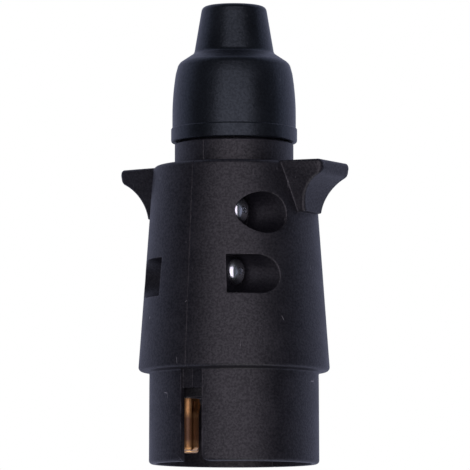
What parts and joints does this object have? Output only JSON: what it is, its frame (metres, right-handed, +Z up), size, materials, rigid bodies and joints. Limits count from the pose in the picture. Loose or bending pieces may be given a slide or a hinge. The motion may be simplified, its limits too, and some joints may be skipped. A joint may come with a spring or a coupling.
{
  "type": "trailer wiring plug",
  "caption": "Round multi-pin trailer wiring plug: keyed barrel, two screwed half shells with finger wings, split brass contacts and a push-on rubber cable boot.",
  "frame": {"origin": "on the plug's axis, in the middle of the barrel's length, 10.5 mm behind the nose", "axes": "+Y along the plug's axis from the nose to the cable end; +Z up out of the side that carries the key slot and the part line, 30 degrees to +X's side of the key slot"},
  "size_m": [0.0496, 0.1028, 0.0426],
  "materials": {
    "shell": "fine-grained moulded black nylon",
    "boot": "smooth satin black rubber",
    "carrier": "smooth moulded black plastic",
    "brass": "turned brass",
    "zinc": "bright zinc plating"
  },
  "bodies": {
    "housing": {"shell_a": "shell", "shell_b": "shell", "contact_carrier": "carrier", "cable_clamp": "carrier", "clamp_screws": "zinc", "pin_1": "brass", "pin_2": "brass", "pin_3": "brass", "pin_4": "brass", "pin_5": "brass", "pin_6": "brass", "pin_7": "brass", "terminal_screw_1": "zinc", "terminal_screw_2": "zinc", "terminal_screw_3": "zinc", "terminal_screw_4": "zinc", "terminal_screw_5": "zinc", "terminal_screw_6": "zinc", "terminal_screw_7": "zinc", "nut_a": "zinc", "nut_b": "zinc"},
    "boot": {"rubber_boot": "boot"},
    "upper_screw_a": {"upper_screw_a": "zinc"},
    "upper_screw_b": {"upper_screw_b": "zinc"},
    "lower_screw_a": {"lower_screw_a": "zinc"},
    "lower_screw_b": {"lower_screw_b": "zinc"}
  },
  "joints": [
    {"name": "boot_slide", "type": "slide", "parent": "housing", "child": "boot", "axis": [0, 1, 0], "range_m": [0, 0.04]},
    {"name": "upper_screw_a_travel", "type": "slide", "parent": "housing", "child": "upper_screw_a", "axis": [0.866, 0, 0.5], "range_m": [0, 0.015]},
    {"name": "upper_screw_b_travel", "type": "slide", "parent": "housing", "child": "upper_screw_b", "axis": [-0.866, 0, -0.5], "range_m": [0, 0.015]},
    {"name": "lower_screw_a_travel", "type": "slide", "parent": "housing", "child": "lower_screw_a", "axis": [0.866, 0, 0.5], "range_m": [0, 0.017]},
    {"name": "lower_screw_b_travel", "type": "slide", "parent": "housing", "child": "lower_screw_b", "axis": [-0.866, 0, -0.5], "range_m": [0, 0.017]}
  ]
}
